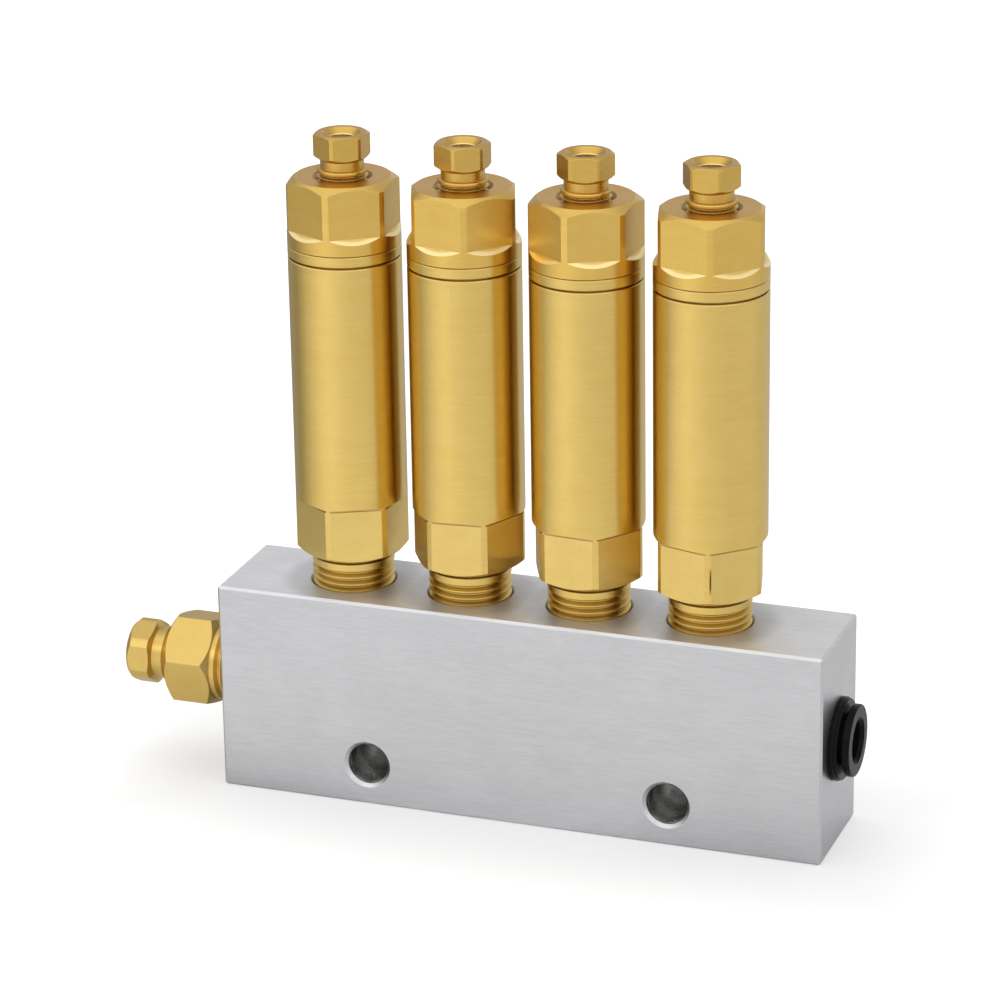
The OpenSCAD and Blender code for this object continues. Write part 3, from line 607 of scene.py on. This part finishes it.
def plasticMaterial(name, roughness):
    sizes = plasticSizes
    material, tree, shader = newMaterial(name)
    place = placeOf(tree)
    fine = noiseOf(tree, place, sizes["textureScale"])
    cloud = noiseOf(tree, place, sizes["cloudScale"], detail=3.0)
    pale = smoothStep(tree, cloud, *sizes["paleTones"])
    colour = mixColour(tree, pale, sizes["colour"], sizes["paleColour"])
    # Edges get the paler edge colour: a painted highlight along the rims
    rounded, edge = edgeWearAndSheen(tree, normalOf(tree), sizes)
    colour = mixColour(tree, edge, colour, sizes["edgeColour"])
    rough = varied(tree, roughness, (cloud, sizes["cloudRoughness"]))
    setSurface(tree, shader, colour, rough, bumpOf(tree, fine, sizes["textureDepth"], normal=rounded))
    shader.inputs["Specular IOR Level"].default_value = sizes["shine"]
    return material


# Rubber of the seals and the check cups
rubberSizes = {
    "colour": (0.018, 0.018, 0.018, 1.0),
    "paleColour": (0.035, 0.034, 0.033, 1.0),
    "roughness": 0.7,
    "textureScale": 3000.0,
    "textureDepth": 0.01 * mm,
    "bumpStrength": 0.5,
}


def rubberMaterial():
    sizes = rubberSizes
    material, tree, shader = newMaterial("sealRubber")
    fine = noiseOf(tree, placeOf(tree), sizes["textureScale"], detail=2.0, roughness=0.6)
    colour = mixColour(tree, fine, sizes["colour"], sizes["paleColour"])
    bump = bumpOf(tree, fine, sizes["textureDepth"], sizes["bumpStrength"])
    setSurface(tree, shader, colour, sizes["roughness"], bump)
    return material


# Ground steel of the pistons, the springs and the grip ring
steelSizes = {
    "colour": (0.42, 0.43, 0.44, 1.0),
    "paleColour": (0.58, 0.59, 0.60, 1.0),
    "roughness": 0.295,
    "grainRoughness": 0.15,
    "grainLines": 5000.0,
    "grainStretch": 0.05,
    "grainDepth": 0.004 * mm,
}


def steelMaterial():
    sizes = steelSizes
    material, tree, shader = newMaterial("groundSteel")
    axes = axesOf(tree, placeOf(tree))
    slowX, slowY = (product(tree, axes[way], sizes["grainStretch"]) for way in ("X", "Y"))
    lines = vectorOf(tree, slowX, slowY, axes["Z"])
    grain = noiseOf(tree, lines, sizes["grainLines"], detail=3.0, roughness=0.6)
    colour = mixColour(tree, grain, sizes["colour"], sizes["paleColour"])
    roughness = varied(tree, sizes["roughness"], (grain, sizes["grainRoughness"]))
    setSurface(tree, shader, colour, roughness, bumpOf(tree, grain, sizes["grainDepth"]), metallic=1.0)
    return material


def dress(prefixes, material):
    for name, node in nodes.items():
        if any(name == prefix or name.startswith(prefix + "_") for prefix in prefixes):
            node.data.materials.clear()
            node.data.materials.append(material)


steel = steelMaterial()
dress(["manifold_block"], barMaterial())
dress(["valve_body", "dose_ring", "outlet_cap"], brassMaterial("valveBrass", "valves"))
dress(["outlet_nut", "cutting_ring"], brassMaterial("nutBrass", "nuts"))
dress(["inlet_adapter", "inlet_nut", "inlet_cutting_ring"], brassMaterial("inletBrass", "inlet"))
dress(["push_in_body"], plasticMaterial("connectorPlastic", plasticSizes["bodyRoughness"]))
dress(["release_sleeve"], plasticMaterial("sleevePlastic", plasticSizes["sleeveRoughness"]))
dress(["cap_seal", "piston_seal", "check_cup", "tube_seal"], rubberMaterial())
dress(["metering_piston", "return_spring", "grip_ring"], steel)
print("materials done")


# Small helpers for pieces that Geometry Nodes make. A tree has a named input for each size

def newShapeTree(name, inputNames):
    tree = bpy.data.node_groups.new(name, "GeometryNodeTree")
    for inputName in inputNames:
        tree.interface.new_socket(name=inputName, in_out="INPUT", socket_type="NodeSocketFloat")
    tree.interface.new_socket(name="Geometry", in_out="OUTPUT", socket_type="NodeSocketGeometry")
    return tree, tree.nodes.new("NodeGroupInput").outputs


def spiralOf(tree, turns, radius, height, stepsPerTurn):
    return addNode(tree, "GeometryNodeCurveSpiral", {
        "Resolution": stepsPerTurn, "Rotations": turns, "Start Radius": radius, "End Radius": radius,
        "Height": height}).outputs["Curve"]


def wireAlong(tree, curve, radius, sides):
    profile = addNode(tree, "GeometryNodeCurvePrimitiveCircle", {"Resolution": sides, "Radius": radius})
    return addNode(tree, "GeometryNodeCurveToMesh", {
        "Curve": curve, "Profile Curve": profile.outputs["Curve"], "Fill Caps": True}).outputs["Mesh"]


def endTree(tree, geometry, material):
    real = addNode(tree, "GeometryNodeRealizeInstances", {"Geometry": geometry})
    finish = addNode(tree, "GeometryNodeSetMaterial", {"Geometry": real.outputs[0], "Material": material})
    output = tree.nodes.new("NodeGroupOutput")
    tree.links.new(finish.outputs["Geometry"], output.inputs["Geometry"])


# Runs a tree on an empty mesh and keeps the result as a plain mesh
def pieceFromTree(name, tree, sizes, body):
    start = addObject(name + "Start", bpy.data.meshes.new(name + "Start"))
    modifier = start.modifiers.new("shape", "NODES")
    modifier.node_group = tree
    for item in tree.interface.items_tree:
        if item.in_out == "INPUT":
            modifier[item.identifier] = sizes[item.name]
    seen = bpy.context.evaluated_depsgraph_get()
    mesh = bpy.data.meshes.new_from_object(start.evaluated_get(seen))
    start.modifiers.remove(modifier)
    bpy.data.objects.remove(start)
    mesh.name = name
    mesh.shade_smooth()
    # Copies made real leave an empty material slot in front
    while mesh.materials[0] is None:
        mesh.materials.pop(index=0)
    piece = addObject(name, mesh)
    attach(piece, body)
    print(name, len(mesh.polygons), "faces")
    return piece


# Helical marks that the drill left in both fixing holes
drillSizes = {
    "length": 23.4 * mm,
    "turns": 34.0,
    "markRadius": 0.12 * mm,
    "proud": 0.045 * mm,        # how far a mark stands out of the bore's wall
    "waver": 0.05 * mm,
}

# The bar's metal where the drill tore it
drilledMetalSizes = {
    "colour": (0.34, 0.335, 0.32, 1.0),
    "paleColour": (0.62, 0.615, 0.60, 1.0),
    "roughness": 0.28,
    "shineRoughness": 0.2,
    "shineScale": 900.0,
    "textureScale": 3500.0,
    "textureStretch": 4.0,
    "textureDepth": 0.004 * mm,
}


def drilledMaterial():
    sizes = drilledMetalSizes
    material, tree, shader = newMaterial("drilledAluminium")
    place = placeOf(tree)
    axes = axesOf(tree, place)
    shine = noiseOf(tree, place, sizes["shineScale"], detail=3.0, roughness=0.6)
    deep = product(tree, axes["Y"], sizes["textureStretch"])
    stretched = vectorOf(tree, axes["X"], deep, axes["Z"])
    fine = noiseOf(tree, stretched, sizes["textureScale"], detail=2.0, roughness=0.6)
    colour = mixColour(tree, shine, sizes["colour"], sizes["paleColour"])
    roughness = varied(tree, sizes["roughness"], (shine, sizes["shineRoughness"]))
    setSurface(tree, shader, colour, roughness, bumpOf(tree, fine, sizes["textureDepth"]), metallic=1.0)
    return material


# The marks waver in and out of the wall, so that some stretches fade
def waverOf(tree, reach, scale=420.0, seed=4.0):
    place = addNode(tree, "GeometryNodeInputPosition").outputs[0]
    inputs = {"Vector": place, "Scale": scale, "Detail": 2.0, "W": seed}
    noise = addNode(tree, "ShaderNodeTexNoise", inputs, noise_dimensions="4D").outputs["Fac"]
    far = product(tree, mathNode(tree, "SUBTRACT", noise, 0.5), product(tree, reach, 2.0))
    flatPlace = vectorMath(tree, "MULTIPLY", place, (1.0, 1.0, 0.0))
    return vectorMath(tree, "SCALE", vectorMath(tree, "NORMALIZE", flatPlace), scale=far)


def drillTree(sizes, material):
    tree, given = newShapeTree("drillMarks", sizes)
    outside = mathNode(tree, "ADD", given["holeRadius"], given["markRadius"])
    middle = mathNode(tree, "SUBTRACT", outside, given["proud"])
    spiral = spiralOf(tree, given["turns"], middle, given["length"], stepsPerTurn=40)
    offset = waverOf(tree, given["waver"])
    bent = addNode(tree, "GeometryNodeSetPosition", {"Geometry": spiral, "Offset": offset})
    wire = wireAlong(tree, bent.outputs["Geometry"], given["markRadius"], sides=5)

    # Turned from upright to front-to-back, then set into each hole
    laid = addNode(tree, "GeometryNodeTransform", {
        "Geometry": wire, "Rotation": (math.pi / 2, 0.0, 0.0),
        "Translation": vectorOf(tree, 0.0, product(tree, given["length"], 0.5), 0.0)})
    left = product(tree, given["holeSpacing"], -0.5)
    holes = addNode(tree, "GeometryNodeMeshLine", {
        "Count": 2, "Start Location": vectorOf(tree, left, 0.0, given["holeHeight"]),
        "Offset": vectorOf(tree, given["holeSpacing"], 0.0, 0.0)})
    copies = addNode(tree, "GeometryNodeInstanceOnPoints", {
        "Points": holes.outputs["Mesh"], "Instance": laid.outputs["Geometry"]})
    endTree(tree, copies.outputs["Instances"], material)
    return tree


def makeDrillMarks():
    sizes = {**holeSizes, **drillSizes}
    tree = drillTree(sizes, drilledMaterial())
    pieceFromTree("drillMarks", tree, sizes, "distributor")


makeDrillMarks()
print("drill marks done")


# Return springs of coiled wire in place of the rigid ones, each attached to its piston
springSizes = {
    "wireRadius": 0.7 * mm,
    "coilRadius": 4.7 * mm,
    "turns": 7.0,
}


def springTree(material):
    tree, given = newShapeTree("returnSpring", [*springSizes, "length", "x", "y", "bottom"])
    climb = mathNode(tree, "SUBTRACT", given["length"], product(tree, given["wireRadius"], 2.0))
    coil = spiralOf(tree, given["turns"], given["coilRadius"], climb, stepsPerTurn=24)
    wire = wireAlong(tree, coil, given["wireRadius"], sides=10)
    start = mathNode(tree, "ADD", given["bottom"], given["wireRadius"])
    placed = addNode(tree, "GeometryNodeTransform", {
        "Geometry": wire, "Translation": vectorOf(tree, given["x"], given["y"], start)})
    endTree(tree, placed.outputs["Geometry"], material)
    return tree


def makeSprings():
    tree = springTree(steel)
    for valve in range(1, rowSizes["count"] + 1):
        node, joint = f"return_spring_{valve}", f"piston_stroke_{valve}"
        low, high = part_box(node)
        length = high.z - low.z
        x, y = valveX(valve), rowSizes["y"]
        sizes = dict(springSizes, length=length, x=x, y=y, bottom=low.z)
        spring = pieceFromTree(f"spring{valve}", tree, sizes, f"piston_{valve}")
        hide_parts(node)
        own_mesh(spring)


makeSprings()
print("springs done")


# Floor and backdrop
studioSizes = {
    "floorHalf": 3.0,
    "floorWhite": 0.82,         # for soft light: reflections show the levels below instead
    "nearFloor": 0.125,         # one set of levels holds within this and another past farFloor
    "farFloor": 0.19,
    "floorSeen": 0.42,          # as the camera sees it, under its glow
    "glowNear": 0.50,
    "glowFar": 0.72,
    "shadowBox": (0.066, 0.0125),   # half the length and depth of the darkest shadow
    "shadowReach": 0.055,
    "overheadFrom": (0.12, 0.5),
    "ambient": 0.96,            # the sky's level for soft light
}

# How bright reflections show the studio, by degrees round it: 0 is the bar's front, more is to its right
levelsRound = {
    "horizon": [
        (-180, 0.74), (-158, 0.66), (-140, 0.46), (-110, 0.41), (-95, 0.39), (-80, 0.56), (-63, 0.78),
        (-44, 0.98), (-25, 1.12), (22, 0.985), (60, 0.99), (91, 1.05), (106, 1.04), (120, 0.97),
        (136, 0.91), (156, 0.84), (180, 0.74)],
    "nearFloor": [
        (-180, 0.60), (-158, 0.45), (-140, 0.42), (-110, 0.50), (-80, 0.72), (-60, 1.0), (0, 1.0),
        (35, 1.04), (70, 0.82), (105, 0.72), (140, 0.70), (160, 0.68), (180, 0.60)],
    "farFloor": [
        (-180, 0.50), (-158, 0.24), (-140, 0.26), (-110, 0.34), (-95, 0.295), (-80, 0.475), (-63, 0.725),
        (-44, 0.955), (-25, 1.09), (-6, 0.96), (22, 0.80), (45, 0.765), (60, 0.75), (91, 0.765),
        (106, 0.745), (120, 0.68), (136, 0.64), (154, 0.59), (165, 0.52), (180, 0.50)],
}

# The same going up over the object, from the front's horizon at 0 to the back's at 180
levelsOverhead = [
    (0, 0.98), (16, 1.1), (27, 1.65), (43, 1.75), (54, 1.30), (66, 1.22), (78, 1.40), (92, 1.15),
    (105, 0.92), (130, 0.71), (160, 0.64), (180, 0.69)]


def roundLevels(tree, axes, name):
    turn = mathNode(tree, "ARCTAN2", axes["X"], product(tree, axes["Y"], -1.0))
    share = weighted(tree, 0.5, (turn, 1 / (2 * math.pi)))
    return rampOf(tree, share, [(0.5 + degrees / 360, level) for degrees, level in levelsRound[name]])


def overheadLevels(tree, axes):
    turn = mathNode(tree, "ARCTAN2", axes["Z"], product(tree, axes["Y"], -1.0))
    share = mathNode(tree, "DIVIDE", turn, math.pi)
    return rampOf(tree, share, [(degrees / 180, level) for degrees, level in levelsOverhead])


# The floor's glow, which fades near the bar as its contact shadow
def floorGlow(tree, axes, cameraRay):
    sizes = studioSizes
    halfX, halfY = sizes["shadowBox"]
    besideX = mathNode(tree, "SUBTRACT", mathNode(tree, "ABSOLUTE", axes["X"]), halfX)
    besideY = mathNode(tree, "SUBTRACT", mathNode(tree, "ABSOLUTE", axes["Y"]), halfY)
    beside = mathNode(tree, "MAXIMUM", besideX, besideY)
    glowing = smoothStep(tree, beside, 0.0, sizes["shadowReach"], sizes["glowNear"], sizes["glowFar"])
    return addNode(tree, "ShaderNodeEmission", {"Strength": product(tree, cameraRay, glowing)}).outputs[0]


def floorMaterial():
    sizes = studioSizes
    material, tree = emptyMaterial("paleFloor")
    place = placeOf(tree)
    axes = axesOf(tree, place)
    path = addNode(tree, "ShaderNodeLightPath").outputs
    far = smoothStep(tree, vectorMath(tree, "LENGTH", place), sizes["nearFloor"], sizes["farFloor"])
    near, distant = (roundLevels(tree, axes, name) for name in ("nearFloor", "farFloor"))
    levels = mixColour(tree, far, near, distant)
    colour = mixColour(tree, path["Is Glossy Ray"], greyOf(sizes["floorWhite"]), levels)
    colour = mixColour(tree, path["Is Camera Ray"], colour, greyOf(sizes["floorSeen"]))
    diffuse = addNode(tree, "ShaderNodeBsdfDiffuse", {"Color": colour})
    glow = floorGlow(tree, axes, path["Is Camera Ray"])
    both = addNode(tree, "ShaderNodeAddShader", {0: diffuse.outputs[0], 1: glow})
    output = addNode(tree, "ShaderNodeOutputMaterial")
    tree.links.new(both.outputs[0], output.inputs["Surface"])
    return material


def makeFloor():
    half = studioSizes["floorHalf"]
    corners = [(-half, -half, 0), (half, -half, 0), (half, half, 0), (-half, half, 0)]
    mesh = bpy.data.meshes.new("floor")
    mesh.from_pydata(corners, [], [(0, 1, 2, 3)])
    mesh.materials.append(floorMaterial())
    addObject("floor", mesh)


def makeWorld():
    sizes = studioSizes
    world = bpy.data.worlds.new("studio")
    world.use_nodes = True
    bpy.context.scene.world = world
    tree = world.node_tree
    tree.nodes.clear()
    way = axesOf(tree, addNode(tree, "ShaderNodeTexCoord").outputs["Generated"])
    path = addNode(tree, "ShaderNodeLightPath").outputs
    above = smoothStep(tree, way["Z"], *sizes["overheadFrom"])
    shown = mixColour(tree, above, roundLevels(tree, way, "horizon"), overheadLevels(tree, way))
    level = mixColour(tree, path["Is Glossy Ray"], greyOf(sizes["ambient"]), shown)
    level = mixColour(tree, path["Is Camera Ray"], level, greyOf(1.0))
    back = addNode(tree, "ShaderNodeBackground", {"Color": level, "Strength": 1.0})
    output = addNode(tree, "ShaderNodeOutputWorld")
    tree.links.new(back.outputs[0], output.inputs["Surface"])


# One soft lamp high behind the left end, which doesn't show in metal
lampSizes = {
    "place": (-0.12, 0.15, 1.1),
    "target": (0.0, 0.0, 0.05),
    "side": 0.9,
    "power": 3.6,
}


def makeLamp():
    sizes = lampSizes
    data = bpy.data.lights.new("topLight", "AREA")
    data.shape = "RECTANGLE"
    data.size = sizes["side"]
    data.size_y = sizes["side"]
    data.energy = sizes["power"]
    lamp = addObject("topLight", data)
    lamp.location = sizes["place"]
    down = Vector(sizes["target"]) - Vector(sizes["place"])
    lamp.rotation_euler = down.to_track_quat("-Z", "Y").to_euler()
    lamp.visible_glossy = False


# The photograph's camera, worked out from the bar's corners and the barrels' outlines
cameraSizes = {
    "place": (0.25183, -0.70547, 0.34432),
    "yaw": -0.35127,            # from +Y towards +X
    "pitch": 0.35728,           # looking down
    "roll": -0.01599,
    "focalPixels": 4065.9,
    "pictureWidth": 1000,
    "sensorWidth": 36.0,
    "clipStart": 0.01,
}


def makeCamera():
    sizes = cameraSizes
    data = bpy.data.cameras.new("camera")
    data.sensor_width = sizes["sensorWidth"]
    data.lens = sizes["focalPixels"] * sizes["sensorWidth"] / sizes["pictureWidth"]
    data.clip_start = sizes["clipStart"]
    camera = addObject("camera", data)
    turn = Matrix.Rotation(-sizes["yaw"], 4, "Z") @ Matrix.Rotation(math.pi / 2 - sizes["pitch"], 4, "X")
    turn = turn @ Matrix.Rotation(sizes["roll"], 4, "Z")
    camera.matrix_world = Matrix.Translation(sizes["place"]) @ turn
    bpy.context.scene.camera = camera


makeFloor()
makeWorld()
makeLamp()
makeCamera()
bpy.context.scene.view_settings.view_transform = "Standard"
print("studio done")
